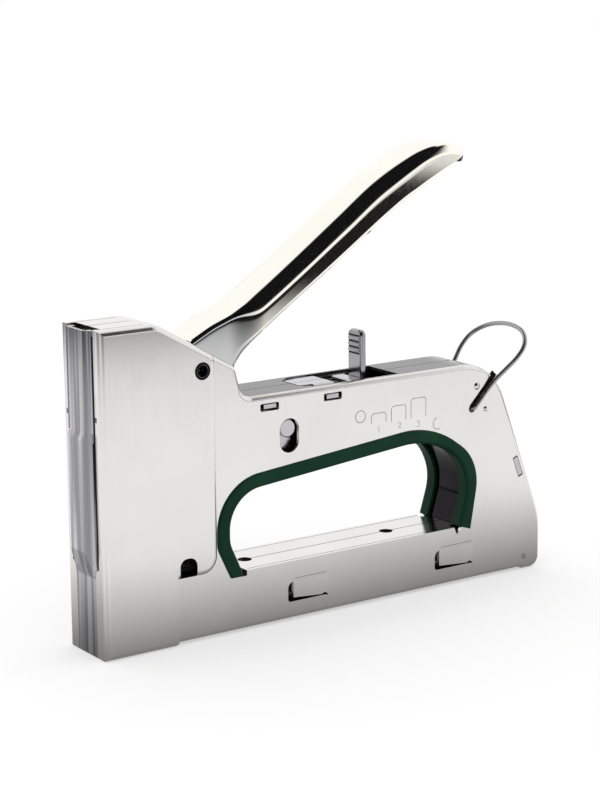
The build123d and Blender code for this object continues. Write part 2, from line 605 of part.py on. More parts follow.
with BuildPart() as bumper:
    add(slab(7.0, 15.5, -5.0, 5.0, shelf_z, shelf_z + 8.0))
    fillet(bumper.edges().filter_by(Axis.Z), 1.2)
    # top face under the arm
    add(plate([(*on_arm(tip_reach, -arm_high / 2 - air), 0), (*on_arm(tip_reach - 30, -arm_high / 2 - air), 0),
               (*on_arm(tip_reach - 30, 20), 0), (*on_arm(tip_reach, 20), 0)], -7, 7), mode=Mode.SUBTRACT)
bumper.part.label = "bumper"
export_step(bumper.part, "parts/bumper.step")


def coil(start, axis, length, turns, mean, wire):
    """Wire coil from a start point along an axis."""
    pitch = length / turns
    with BuildPart(mode=Mode.PRIVATE) as piece:
        with BuildLine() as track:
            path = Helix(pitch=pitch, height=length, radius=mean, center=start, direction=axis)
        with BuildSketch(Plane(origin=path @ 0, z_dir=path % 0)):
            Circle(wire / 2)
        sweep(path=path, is_frenet=True)
    return piece.part


seat_x = adjuster_x - 7.0
with BuildPart() as mainspring:
    add(coil((tail_x + 0.95, 0, spring_z), (1, 0, 0), seat_x - tail_x - 1.9, 7.5, 4.55, 1.8))
mainspring.part.label = "mainspring"
export_step(mainspring.part, "parts/mainspring.step")

with BuildPart() as handle_return_spring:
    add(coil((pivot_x, -6.2, pivot_z), (0, 1, 0), 4.2, 4, 3.95, 1.0))
handle_return_spring.part.label = "handle_return_spring"
export_step(handle_return_spring.part, "parts/handle_return_spring.step")

# ---- inner frame, spring seat and power adjuster ------------------------------------------------
frame_in, frame_out = inner_half - 3.7, inner_half - 2.2
frame_top = deck_height - 2.3
frame_front, frame_rear = fulcrum_x - 11.5, adjuster_x + 7.0
seat_guide = (spring_z - 10.4, spring_z - 7.8)      # height of the slots that guide the spring seat
with BuildPart() as inner_frame_left:
    add(plate([(frame_front, fulcrum_z - 6.5, 2), (frame_front, frame_top, 1), (frame_rear, frame_top, 2),
               (frame_rear, fulcrum_z - 7.9, 3), (frame_front + 4, fulcrum_z - 7.9, 3)], -frame_out, -frame_in))
    # bent-in top flange under the adjuster opening
    with BuildSketch(Plane.XY.offset(deck_height - sheet)):
        with BuildLine():
            Polyline((82.6, -0.15), (82.6, -4.8), (88.0, -5.5), (88.0, -0.15), close=True)
        make_face()
    extrude(amount=sheet)
    with BuildSketch(Plane(origin=(87.6, 0, 0), x_dir=(0, 1, 0), z_dir=(1, 0, 0))):
        with BuildLine():
            path, radii = corners([(-frame_out, frame_top - 1, 0), (-frame_out, deck_height, 2.6), (-0.15, deck_height, 0),
                                   (-0.15, deck_height - sheet, 0), (-frame_in, deck_height - sheet, 1.2),
                                   (-frame_in, frame_top - 1, 0)])
            FilletPolyline(path, radius=radii, close=True)
        make_face()
    extrude(amount=96.0 - 87.6)
    # tabs into the body side
    for (x, z), lift, shift in ((tab_slots[0], 0.25, 0.1), (tab_slots[1], 0.1, -0.1)):
        add(slab(x + shift - 2.5, x + shift + 2.5, -body_half, -frame_in, z + lift - 0.7, z + lift + 0.7))
    add(across(fulcrum_x, fulcrum_z, fulcrum_pin_d + 2 * fixed, -15, 0), mode=Mode.SUBTRACT)
    add(across(adjuster_x, adjuster_z, adjuster_pin_d + 2 * fixed, -15, 0), mode=Mode.SUBTRACT)
    add(across(frame_rivet_x, frame_rivet_z, 2.4 + 2 * fixed, -15, 0), mode=Mode.SUBTRACT)
    # guide slot of the spring seat
    add(slab(seat_x - 2.6, seat_x + 2.9, -15, 0, *seat_guide), mode=Mode.SUBTRACT)
inner_frame_left.part.label = "inner_frame_left"
export_step(inner_frame_left.part, "parts/inner_frame_left.step")

with BuildPart() as inner_frame_right:
    add(mirror(inner_frame_left.part, about=Plane.XZ, mode=Mode.PRIVATE))
inner_frame_right.part.label = "inner_frame_right"
export_step(inner_frame_right.part, "parts/inner_frame_right.step")

lever_front = adjuster_x - 1.3
lever_top = adjuster_z + 27.3
with BuildPart() as spring_seat:
    add(slab(seat_x, lever_front - 0.4, -5.5, 5.5, spring_z - 0.1, spring_z + 6.3))
    fillet(spring_seat.edges().filter_by(Axis.Y).group_by(Axis.Z)[-1], 0.6)
    add(slab(seat_x, seat_x + 2.6, -5.5, 5.5, seat_guide[0] - 0.3, spring_z + 0.3))
    add(slab(seat_x, seat_x + 2.6, -frame_out, frame_out, seat_guide[0] + 0.15, seat_guide[1] - 0.15))
spring_seat.part.label = "spring_seat"
export_step(spring_seat.part, "parts/spring_seat.step")

cam_half = frame_in - 1.4
with BuildPart() as power_adjuster:
    add(slab(lever_front, lever_front + 2.5, -4.0, 4.0, adjuster_z, lever_top))
    fillet(power_adjuster.edges().filter_by(Axis.X).group_by(Axis.Z)[-1], 2.2)
    fillet(power_adjuster.edges().filter_by(Axis.Y).group_by(Axis.Z)[-1], 0.9)
    for drop in (3.1, 5.2, 7.3):
        add(Pos(lever_front, 0, lever_top - drop) * Rot(90, 0, 0) * Cylinder(0.55, 6.0, mode=Mode.PRIVATE))
    add(across(adjuster_x, adjuster_z, 7.6, -cam_half, cam_half))
    add(across(adjuster_x + 3.0 * -cos(radians(85)), adjuster_z - 3.0 * sin(radians(85)), 8.0, -cam_half, cam_half))
    add(across(adjuster_x, adjuster_z, 6.4, -(frame_in - 0.2), frame_in - 0.2))
    add(across(adjuster_x, adjuster_z, adjuster_pin_d + 2 * running, -frame_in, frame_in), mode=Mode.SUBTRACT)
power_adjuster.part.label = "power_adjuster"
export_step(power_adjuster.part, "parts/power_adjuster.step")

with BuildPart() as frame_rivets:
    for hand in (-1, 1):
        add(across(frame_rivet_x, frame_rivet_z, rivet_d, hand * (inner_half + 0.42), hand * body_half))
        add(across(frame_rivet_x, frame_rivet_z, 2.4, hand * (frame_in - 0.8), hand * body_half))
        add(across(frame_rivet_x, frame_rivet_z, rivet_d, hand * (frame_out + fixed), hand * (inner_half - fixed)))
        add(across(frame_rivet_x, frame_rivet_z, 3.2, hand * (frame_in - 0.85), hand * (frame_in - fixed)))
frame_rivets.part.label = "frame_rivets"
export_step(frame_rivets.part, "parts/frame_rivets.step")

# ---- rear brace and bail ----------------------------------------------------------------------------
brace_sheet = 2.0
with BuildPart() as rear_brace:
    with BuildPart(mode=Mode.PRIVATE) as brace_blank:
        add(slab(-17, 12, -inner_half + 0.05, inner_half - 0.05, -brace_sheet / 2, brace_sheet / 2))
        add(slab(-3.9, 3.9, -body_half, body_half, -brace_sheet / 2, brace_sheet / 2))
        fillet(brace_blank.edges().filter_by(Axis.Z), 0.4)
    add(Pos(rear_tab[0], 0, rear_tab[1]) * Rot(0, degrees(atan2(rear_slope, 1)), 0) * brace_blank.part)
rear_brace.part.label = "rear_brace"
export_step(rear_brace.part, "parts/rear_brace.step")

wire_d = 1.7
leg_y = body_half + wire_d / 2       # legs lie on the outside of the body
hook_plate_y = (inner_half - 1.6, inner_half - 0.1)
with BuildPart() as bail_plate_left:
    add(plate([(body_rivet_x - 4.8, body_rivet_z - 1.9, 0), (body_rivet_x - 4.8, body_rivet_z + 6.1, 2), (bail_x + 4.3, bail_z + 4.6, 3),
               (bail_x + 4.3, bail_z - 2.9, 3), (body_rivet_x + 4.6, body_rivet_z - 1.9, 0)], -hook_plate_y[1], -hook_plate_y[0]))
    add(across(bail_x, bail_z, wire_d + 2 * running, -15, 0), mode=Mode.SUBTRACT)
    add(across(body_rivet_x, body_rivet_z, 2.4 + 2 * fixed, -15, 0), mode=Mode.SUBTRACT)
bail_plate_left.part.label = "bail_plate_left"
export_step(bail_plate_left.part, "parts/bail_plate_left.step")
with BuildPart() as bail_plate_right:
    add(mirror(bail_plate_left.part, about=Plane.XZ, mode=Mode.PRIVATE))
bail_plate_right.part.label = "bail_plate_right"
export_step(bail_plate_right.part, "parts/bail_plate_right.step")

with BuildPart() as bail_rivets:
    for hand in (-1, 1):
        add(across(body_rivet_x, body_rivet_z, rivet_d, hand * (inner_half + 0.42), hand * body_half))
        add(across(body_rivet_x, body_rivet_z, 2.4, hand * (hook_plate_y[0] - 0.7), hand * body_half))
        add(across(body_rivet_x, body_rivet_z, 3.4, hand * (hook_plate_y[0] - 0.7), hand * (hook_plate_y[0] - fixed)))
bail_rivets.part.label = "bail_rivets"
export_step(bail_rivets.part, "parts/bail_rivets.step")

bail_tilt = radians(45.3)            # rise of the bail's plane at rest
straight_run = 12.2                  # reach where the legs start to spread
ring_at = 27.3                       # reach of the widest part of the loop
ring_half = 15.9                     # half width there
ring_rise = 10.4                     # from there to the end of the loop
bail_plane = Plane(origin=(bail_x, 0, bail_z), x_dir=(cos(bail_tilt), 0, sin(bail_tilt)),
                   z_dir=(-sin(bail_tilt), 0, cos(bail_tilt)))


def ring_corner(turn):
    """Corner of the polygon round the half-elliptic end of the loop."""
    grow = 1 / cos(radians(18))
    return ring_at + ring_rise * cos(radians(turn)) * grow, ring_half * sin(radians(turn)) * grow


with BuildPart() as bail:
    half_track = [(0, hook_plate_y[0] - 0.5, 0), (0, leg_y, 1.3), (straight_run, leg_y, 25.0),
                  (ring_at - 3.3, ring_half, 16.0), (*ring_corner(72), 9.0), (*ring_corner(36), 14.0)]
    track = [(u, -v, r) for u, v, r in half_track] + [(*ring_corner(0), 24.0)] + half_track[::-1]
    path, radii = corners(track)
    with BuildLine(bail_plane):
        wire = FilletPolyline(path, radius=radii[1:-1])
    with BuildSketch(Plane(origin=wire @ 0, z_dir=wire % 0)):
        Circle(wire_d / 2)
    sweep(path=wire)
bail.part.label = "bail"
export_step(bail.part, "parts/bail.step")

# ---- magazine ---------------------------------------------------------------------------------------
channel_in, channel_out = 5.7, 6.8
channel_end = 166.0
with BuildPart() as magazine_channel:
    add(slab(5.0, channel_end, -channel_out, channel_out, 2.05, 16.5))
    for hand in (-1, 1):
        add(slab(5.0, channel_end, hand * channel_in, hand * (inner_half - 0.1), 2.05, 3.25))
    add(slab(4, channel_end + 1, -channel_in, channel_in, 0, 15.4), mode=Mode.SUBTRACT)
magazine_channel.part.label = "magazine_channel"
export_step(magazine_channel.part, "parts/magazine_channel.step")

rod_z = 9.4
rod_d = 2.0
rail_top = 13.4
rail_half = 4.1
rail_end = 176.0
cap_front = channel_end + 1.0
latch_top = latch_z + 2.2            # the latch passes under the rail when the rail slides out
with BuildPart() as staple_rail:
    add(slab(6.0, rail_end, -rail_half, rail_half, latch_top + air, rail_top))
    add(slab(5, rail_end + 1, -rail_half + 1, rail_half - 1, 0, rail_top - 1), mode=Mode.SUBTRACT)
    fillet(staple_rail.edges().filter_by(Axis.X).group_by(Axis.Z)[-1], 0.6)
    add(slab(cap_front - 0.1, rail_end + 1, -6, 6, 0, rail_top - 1.01), mode=Mode.SUBTRACT)
staple_rail.part.label = "staple_rail"
export_step(staple_rail.part, "parts/staple_rail.step")

cap_low = latch_top + 0.5
rod_end = 181.9
tooth_y = (rail_half + 0.4, rail_half + 1.2)      # the latch teeth pass outside the rail
with BuildPart() as end_cap:
    add(slab(cap_front, tool_length - 0.2, -7.0, 7.0, cap_low, 19.0))
    fillet(end_cap.edges().filter_by(Axis.Y).group_by(Axis.X)[-1], 1.2)
    # seat of the rail, bore of the rod, catch for the latch
    add(slab(cap_front - 1, rail_end + 0.05, -rail_half - fixed, rail_half + fixed, rail_top - 1 - fixed, rail_top + fixed),
        mode=Mode.SUBTRACT)
    add(along(0, rod_z, rod_d + 2 * fixed, cap_front - 1, rod_end + 0.1), mode=Mode.SUBTRACT)
    for hand in (-1, 1):
        add(slab(171.2, 174.8, hand * (tooth_y[0] - air), hand * (tooth_y[1] + air), cap_low - 1, 9.2), mode=Mode.SUBTRACT)
end_cap.part.label = "end_cap"
export_step(end_cap.part, "parts/end_cap.step")

with BuildPart() as guide_rod:
    add(along(0, rod_z, rod_d, 7.0, rod_end))
guide_rod.part.label = "guide_rod"
export_step(guide_rod.part, "parts/guide_rod.step")

pusher_x = (3.4, 23.0)
with BuildPart() as staple_pusher:
    add(slab(*pusher_x, -5.4, 5.4, 0.9, 15.0))
    add(slab(0, 30, -4.35, 4.35, 1.7, 13.65), mode=Mode.SUBTRACT)
    add(slab(8.0, 12.0, -2.7, 2.7, 1.5, 12.0))
    add(along(0, rod_z, rod_d + 2 * running, 7, 13), mode=Mode.SUBTRACT)
staple_pusher.part.label = "staple_pusher"
export_step(staple_pusher.part, "parts/staple_pusher.step")

with BuildPart() as pusher_spring:
    add(coil((12.3, 0, rod_z), (1, 0, 0), cap_front - 12.7, 40, 1.8, 0.6))
pusher_spring.part.label = "pusher_spring"
export_step(pusher_spring.part, "parts/pusher_spring.step")

# ---- magazine latch ----------------------------------------------------------------------------------
with BuildPart() as magazine_latch:
    latch_half = 5.3
    add(plate([(171.5, latch_z - 1.3, 0.4), (171.5, latch_top, 0.4), (latch_x + 1.0, latch_top, 1.5),
               (latch_x + 3.5, latch_z, 0), (latch_x + 6.2, latch_z - 0.5, 0.6), (latch_x + 6.2, latch_z - 3.7, 0.6),
               (latch_x + 2.8, latch_z - 3.7, 1.5), (latch_x + 0.5, latch_z - 1.9, 0)], -latch_half, latch_half))
    for hand in (-1, 1):
        add(plate([(171.5, latch_top - 0.6, 0), (171.5, cap_low + 1.2, 0.3), (173.4, cap_low, 0), (173.4, latch_top - 0.6, 0)],
                  *sorted((hand * tooth_y[0], hand * tooth_y[1]))))
    add(across(latch_x, latch_z, latch_pin_d + 2 * running, -7, 7), mode=Mode.SUBTRACT)
magazine_latch.part.label = "magazine_latch"
export_step(magazine_latch.part, "parts/magazine_latch.step")

with BuildPart() as latch_spring:
    add(coil((latch_x, -9.0, latch_z), (0, 1, 0), 3.2, 4, 1.75, 0.6))
latch_spring.part.label = "latch_spring"
export_step(latch_spring.part, "parts/latch_spring.step")
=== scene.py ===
"""Looks of the staple gun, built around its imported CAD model. Metres; X to the rear, Z up."""
import json
import math

import bmesh
import bpy
from mathutils import Matrix, Vector


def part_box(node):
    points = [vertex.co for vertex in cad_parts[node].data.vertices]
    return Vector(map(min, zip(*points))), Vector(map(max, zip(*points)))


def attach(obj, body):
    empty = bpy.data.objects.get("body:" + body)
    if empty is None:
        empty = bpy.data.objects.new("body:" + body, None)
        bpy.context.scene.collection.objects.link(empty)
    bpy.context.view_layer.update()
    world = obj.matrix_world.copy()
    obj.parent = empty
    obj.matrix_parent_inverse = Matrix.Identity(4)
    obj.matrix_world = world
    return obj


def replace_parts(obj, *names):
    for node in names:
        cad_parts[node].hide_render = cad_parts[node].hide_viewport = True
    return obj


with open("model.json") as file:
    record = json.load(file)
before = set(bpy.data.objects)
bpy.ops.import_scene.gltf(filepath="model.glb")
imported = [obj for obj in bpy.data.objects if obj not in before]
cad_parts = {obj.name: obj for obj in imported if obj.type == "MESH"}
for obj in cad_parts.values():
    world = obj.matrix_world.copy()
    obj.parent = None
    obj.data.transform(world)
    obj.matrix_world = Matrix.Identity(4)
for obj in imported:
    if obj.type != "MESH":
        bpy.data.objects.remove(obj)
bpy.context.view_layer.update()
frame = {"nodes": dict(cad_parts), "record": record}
nodes = frame["nodes"]
MM = 0.001


# ---- camera ---------------------------------------------------------------------------------
def add_camera():
    """Camera at the photograph's viewing angle."""
    azimuth, elevation, roll = (math.radians(v) for v in (-34.846, 12.078, -0.42))
    back = Vector((math.sin(azimuth) * math.cos(elevation), -math.cos(azimuth) * math.cos(elevation),
                   math.sin(elevation)))
    right = (-back).cross(Vector((0, 0, 1))).normalized()
    up = right.cross(-back)
    right_rolled = right * math.cos(roll) + up * math.sin(roll)
    up_rolled = -right * math.sin(roll) + up * math.cos(roll)
    data = bpy.data.cameras.new("camera")
    data.sensor_fit = "VERTICAL"
    data.sensor_height = 36.0
    data.lens = 93.58
    data.clip_start = 0.01
    camera = bpy.data.objects.new("camera", data)
    bpy.context.scene.collection.objects.link(camera)
    camera.matrix_world = Matrix.Translation(Vector((-0.31771, -0.58026, 0.22618))) @ Matrix(
        (right_rolled, up_rolled, back)).transposed().to_4x4()
    bpy.context.scene.camera = camera


add_camera()


# ---- materials --------------------------------------------------------------------------------
class Nodes:
    """Small helper that adds and links the nodes of one material or of the world."""

    def __init__(self, name, owner=None):
        self.material = owner or bpy.data.materials.new(name)
        self.material.use_nodes = True
        self.tree = self.material.node_tree
        self.shader = self.tree.nodes.get("Principled BSDF")
        self.coords = self.tree.nodes.new("ShaderNodeTexCoord").outputs["Object"]

    def add(self, kind, inputs=None, **settings):
        node = self.tree.nodes.new(kind)
        for key, value in settings.items():
            setattr(node, key, value)
        for key, value in (inputs or {}).items():
            if isinstance(value, bpy.types.NodeSocket):
                self.tree.links.new(value, node.inputs[key])
            else:
                node.inputs[key].default_value = value
        return node

    def math(self, operation, first, second=0.0):
        return self.add("ShaderNodeMath", {0: first, 1: second}, operation=operation).outputs[0]

    def axes(self, vector=None):
        """X, Y and Z of a vector, or of the place on the object."""
        return self.add("ShaderNodeSeparateXYZ", {0: vector or self.coords}).outputs

    def noise(self, scale, detail=2.0, stretch=(1, 1, 1)):
        mapped = self.add("ShaderNodeMapping", {"Vector": self.coords, "Scale": stretch})
        return self.add("ShaderNodeTexNoise", {"Vector": mapped.outputs[0], "Scale": scale,
                                               "Detail": detail}).outputs["Fac"]

    def span(self, value, low, high, out_low, out_high, smooth=False):
        """Value carried from the range low to high over to the range out_low to out_high."""
        return self.add("ShaderNodeMapRange", {"Value": value, "From Min": low, "From Max": high,
                                               "To Min": out_low, "To Max": out_high},
                        interpolation_type="SMOOTHSTEP" if smooth else "LINEAR").outputs[0]

    def blend(self, factor, first, second):
        node = self.add("ShaderNodeMix", data_type="RGBA")
        for key, value in (("Factor_Float", factor), ("A_Color", first), ("B_Color", second)):
            socket = next(s for s in node.inputs if s.identifier == key)
            if isinstance(value, bpy.types.NodeSocket):
                self.tree.links.new(value, socket)
            else:
                socket.default_value = value
        return next(s for s in node.outputs if s.identifier == "Result_Color")

    def set(self, key, value):
        """Number, colour or socket put into an input of the shader."""
        if isinstance(value, bpy.types.NodeSocket):
            self.tree.links.new(value, self.shader.inputs[key])
        else:
            self.shader.inputs[key].default_value = value

    def bump(self, height, distance):
        node = self.add("ShaderNodeBump", {"Height": height, "Distance": distance, "Strength": 1.0})
        self.tree.links.new(node.outputs[0], self.shader.inputs["Normal"])


def rgb(red, green, blue):
    """Colour written as 0-255 display values, as a linear shader colour."""
    return tuple((v / 255 / 12.92) if v / 255 <= 0.04045 else ((v / 255 + 0.055) / 1.055) ** 2.4
                 for v in (red, green, blue)) + (1.0,)


def metal(name, colour, dark, rough, spread, grain, grain_scale):
    """Metal with cloudy tone and fine grain in its roughness."""
    m = Nodes(name)
    clouds = m.noise(35.0, 3.0)
    fine = m.noise(grain_scale, 3.0, grain)
    m.set("Base Color", m.blend(m.span(clouds, 0.3, 0.75, 0.0, 1.0), dark, colour))
    m.set("Metallic", 1.0)
    m.set("Roughness", m.math("ADD", m.span(fine, 0.3, 0.7, rough - spread, rough + spread),
                              m.span(clouds, 0.3, 0.7, -spread * 0.5, spread * 0.5)))
    return m.material


def plated_shell():
    """Bright plated sheet; the top of the body between its rims is duller, and carries painted shade for the
    darker reflection it shows.
    """
    m = Nodes("plated_steel")
    clouds = m.noise(35.0, 3.0)
    fine = m.noise(900.0, 3.0, (1, 1, 0.15))
    x, y, z = m.axes()
    side = m.blend(m.span(clouds, 0.3, 0.75, 0.0, 1.0), rgb(229, 227, 225), rgb(236, 234, 232))
    # painted shade: the top between the rims gets a darker colour, fading towards the rear, and more
    # roughness
    deck = m.math("MULTIPLY", m.math("GREATER_THAN", z, deck_top - 1.3 * MM),
                  m.math("LESS_THAN", m.math("ABSOLUTE", y), deck_half - 1.5 * MM))
    deck = m.math("MULTIPLY", deck, m.math("LESS_THAN", z, deck_top + 0.4 * MM))
    deck = m.math("MULTIPLY", deck, m.span(x, 0.146, 0.158, 1.0, 0.45, smooth=True))
    m.set("Base Color", m.blend(deck, side, rgb(118, 117, 120)))
    m.set("Metallic", 1.0)
    m.set("Roughness", m.math("ADD", m.span(fine, 0.3, 0.7, 0.145, 0.175), m.math("MULTIPLY", deck, 0.12)))
    m.bump(m.noise(60.0, 1.0), 0.00001)
    return m.material


def chromed():
    """Chromed lever; the sides of its neck, which turn between the shells, carry painted shade."""
    m = Nodes("chrome_handle")
    clouds = m.noise(35.0, 3.0)
    fine = m.noise(400.0, 3.0)
    x, y, _ = m.axes()
    # painted shade: the sides of the neck are coloured darker where they turn between the shells
    neck = m.math("MULTIPLY", m.span(x, 0.056, 0.066, 1.0, 0.0, smooth=True),
                  m.span(m.math("ABSOLUTE", y), 0.0077, 0.0081, 0.0, 1.0))
    bright = m.blend(m.span(clouds, 0.3, 0.75, 0.0, 1.0), rgb(251, 249, 239), rgb(255, 253, 243))
    m.set("Base Color", m.blend(neck, bright, rgb(198, 198, 199)))
    m.set("Metallic", 1.0)
    m.set("Roughness", m.span(fine, 0.3, 0.7, 0.038, 0.062))
    m.bump(m.noise(60.0, 1.0), 0.000002)
    return m.material


deck_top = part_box("inner_frame_left")[1][2]
deck_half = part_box("rear_brace")[1][1]

materials = {
    "plated_steel": plated_shell(),
    "chrome_handle": chromed(),
    "hard_steel": metal("hard_steel", rgb(206, 204, 206), rgb(190, 188, 191), 0.15, 0.04, (1, 8, 1), 700.0),
    "inner_steel": metal("inner_steel", rgb(206, 205, 207), rgb(186, 185, 188), 0.20, 0.05, (1, 1, 6), 500.0),
    "spring_steel": metal("spring_steel", rgb(96, 96, 98), rgb(70, 70, 72), 0.30, 0.06, (1, 1, 1), 900.0),
    "bright_wire": metal("bright_wire", rgb(188, 187, 188), rgb(165, 164, 166), 0.34, 0.05, (6, 6, 1), 900.0),
    "black_steel": metal("black_steel", rgb(30, 30, 32), rgb(18, 18, 20), 0.30, 0.07, (1, 1, 1), 800.0),
    "dark_liner": metal("dark_liner", rgb(46, 42, 46), rgb(32, 30, 33), 0.14, 0.03, (1, 0.1, 1), 600.0),
}


def moulded(name, colour, dark, rough, grain, depth, specular):
    """Moulded plastic or rubber: slight tone changes, fine texture."""
    m = Nodes(name)
    fine = m.noise(grain, 4.0)
    clouds = m.noise(60.0, 2.0)
    m.set("Base Color", m.blend(m.span(clouds, 0.3, 0.7, 0.0, 1.0), dark, colour))
    m.set("Roughness", m.span(fine, 0.3, 0.7, rough - 0.05, rough + 0.05))
    m.set("Specular IOR Level", specular)
    m.bump(fine, depth)
    return m.material


for name, colour, dark, rough, grain, depth, specular in (
        ("green_plastic", rgb(17, 60, 40), rgb(12, 49, 32), 0.38, 2600.0, 0.00001, 0.10),
        ("black_rubber", rgb(30, 30, 30), rgb(20, 20, 20), 0.6, 1800.0, 0.00002, 0.2),
        ("black_plastic", rgb(34, 34, 36), rgb(26, 26, 27), 0.45, 1800.0, 0.00002, 0.3)):
    materials[name] = moulded(name, colour, dark, rough, grain, depth, specular)
mark_dark = metal("mark_dark", rgb(120, 119, 120), rgb(96, 95, 97), 0.35, 0.05, (1, 1, 1), 1500.0)
# Nearly black: painted shade in seams, gaps, grooves and the bail's slot.
painted_gap_shade = metal("painted_gap_shade", rgb(26, 26, 28), rgb(14, 14, 15), 0.40, 0.06, (1, 1, 1), 900.0)
# Dark colour for the sheet edges of the handle: painted shade along the lever's lower edges.
rim_painted_shade = metal("rim_painted_shade", rgb(74, 73, 74), rgb(58, 57, 59), 0.30, 0.05, (1, 1, 1), 900.0)
lever_steel = metal("lever_steel", rgb(176, 175, 177), rgb(150, 149, 152), 0.14, 0.04, (1, 1, 6), 700.0)


def groove_painted_shade():
    """Painted shade in the groove beside the rib of the front plate: dark above, bright steel where the
    groove runs out below.
    """
    m = Nodes("groove_painted_shade")
    cloudy = m.span(m.noise(300.0, 2.0, (1, 1, 0.2)), 0.3, 0.7, -0.004, 0.004)
    height = m.math("ADD", m.axes()["Z"], cloudy)
    depth = m.span(height, 0.044, 0.062, 0.0, 1.0, smooth=True)
    m.set("Base Color", m.blend(depth, rgb(200, 198, 200), rgb(20, 20, 22)))
    m.set("Metallic", 1.0)
    m.set("Roughness", 0.2)
    return m.material


def front_metal():
    """Steel of the front plate: grey, with upright pale and dark streaks painted into its colour as
    reflections of its drawn folds.
    """
    m = Nodes("front_steel")
    streaks = m.noise(330.0, 2.0, (1, 1, 0.02))
    # painted reflection: the streaks make the colour paler and darker
    light = m.span(streaks, 0.38, 0.62, 0.0, 1.0, smooth=True)
    m.set("Base Color", m.blend(light, rgb(142, 141, 144), rgb(206, 205, 207)))
    m.set("Metallic", 1.0)
    m.set("Roughness", m.span(streaks, 0.3, 0.7, 0.12, 0.20))
    return m.material


slot_of = {part["node"]: part["material_slot"] for part in frame["record"]["subparts"]}
special = {"power_adjuster": lever_steel, "front_plate": front_metal()}
for name, obj in nodes.items():
    material = special.get(name, materials[slot_of[name]])
    if not obj.material_slots:
        obj.data.materials.append(material)
    for slot in obj.material_slots:
        slot.material = material


# ---- handle -------------------------------------------------------------------------------------
pivot = (38.7, 92.8)    # x and z; the lever's other measures are millimetres from here
ridge = [(-18.7, 0.2), (-4.7, 7.9), (2.1, 11.4), (7.3, 13.9), (15.3, 16.9), (23.5, 21.4), (39.3, 31.9),
         (59.3, 45.8), (75.3, 56.9), (91.8, 65.4), (100.3, 68.2), (106.3, 68.8), (112.0, 67.7), (116.8, 65.4)]
underside = [(-1.7, 4.0), (2.4, -4.6), (5.7, -8.2), (12.1, -5.6), (15.2, -0.6), (18.4, 4.0), (27.4, 11.3),
             (55.0, 29.4), (84.3, 48.6), (93.1, 53.2), (101.9, 58.0), (106.4, 60.6), (110.9, 62.8),
             (114.0, 63.8), (116.9, 64.2)]
grip_reach = ridge[-1][0]
shank_half, grip_half = 8.25, 9.6
tip_round = 9.5         # length of the tip that is round in plan
lever_sheet = 1.5
# half sections of the pressed channel: share of the half width, depth below the ridge
grip_section = [(0, 0), (0.30, 0.03), (0.58, 0.14), (0.76, 0.36), (0.84, 0.66), (0.885, 1.15), (0.925, 2.0),
                (0.955, 3.0), (0.982, 4.2), (0.996, 4.9), (1.0, 5.6), (1.0, 6.6)]
shank_section = [(0, 0), (0.30, 0.0), (0.58, 0.02), (0.76, 0.05), (0.87, 0.1), (0.925, 0.22), (0.96, 0.45),
                 (0.985, 0.85), (0.997, 1.3), (0.9995, 1.8), (1.0, 2.6), (1.0, 3.6)]
tip_section = [(0, 0), (0.30, 0.03), (0.58, 0.12), (0.78, 0.32), (0.88, 0.62), (0.93, 1.05), (0.955, 1.7),
               (0.975, 2.4), (0.99, 3.2), (1.0, 3.9), (1.0, 4.7), (1.0, 5.5)]


def smooth_line(points, x):
    """Height at x of a smooth curve through the points, which run along x."""
    for i in range(len(points) - 1):
        x1, z1 = points[i]
        x2, z2 = points[i + 1]
        if x <= x2 or i == len(points) - 2:
            x0, z0 = points[max(0, i - 1)]
            x3, z3 = points[min(len(points) - 1, i + 2)]
            start = (z2 - z0) / (x2 - x0) * (x2 - x1)
            end = (z3 - z1) / (x3 - x1) * (x2 - x1)
            t = (x - x1) / (x2 - x1)
            return ((2 * t ** 3 - 3 * t ** 2 + 1) * z1 + (t ** 3 - 2 * t ** 2 + t) * start
                    + (3 * t ** 2 - 2 * t ** 3) * z2 + (t ** 3 - t ** 2) * end)


def eased(x, x0, x1, start, end):
    """Value that eases from start to end between x0 and x1."""
    share = min(1, max(0, (x - x0) / (x1 - x0)))
    return start + (end - start) * (1 - math.cos(math.pi * share)) / 2


def handle_station(dx):
    """Outside of the lever this far behind its pivot, from the left lower edge to the right one."""
    top = smooth_line(ridge, dx)
    low = smooth_line(underside, dx)
    before, after = dx - 1, min(dx + 1, grip_reach)
    slope = (smooth_line(ridge, after) - smooth_line(ridge, before)) / (after - before)
    steep = (1 + slope * slope) ** 0.5
    into_tip = max(0, dx - (grip_reach - tip_round)) / (tip_round + 0.06)
    into_grip = eased(dx, 13.5, 27.0, 0, 1)
    half = (shank_half + (grip_half - shank_half) * into_grip) * (1 - into_tip ** 2) ** 0.5
    side = []
    doming = eased(dx, 78.0, 108.0, 0, 1)
    sections = zip(grip_section, shank_section, tip_section)
    for (share_g, depth_g), (share_s, depth_s), (share_t, depth_t) in sections:
        share_g += (share_t - share_g) * doming
        depth_g += (depth_t - depth_g) * doming
        share = share_s + (share_g - share_s) * into_grip
        depth = (depth_s + (depth_g - depth_s) * into_grip) * steep
        side.append((share * half, max(top - depth, low + 0.02 * (1 - share))))
    last = side[-1][1]
    side += [(half, last + (low - last) * k / 4) for k in (1, 2, 3)]
    side.append((half, low))
    left = [(-y, z) for y, z in reversed(side)]
    return [Vector(((pivot[0] + dx) * MM, y * MM, (pivot[1] + z) * MM)) for y, z in left + side[1:]]


def mesh_object(name, mesh, material, body):
    """New piece that takes its finish from a slot and moves with a body."""
    obj = bpy.data.objects.new(name, mesh)
    bpy.context.scene.collection.objects.link(obj)
    obj.data.materials.append(material)
    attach(obj, body)
    return obj


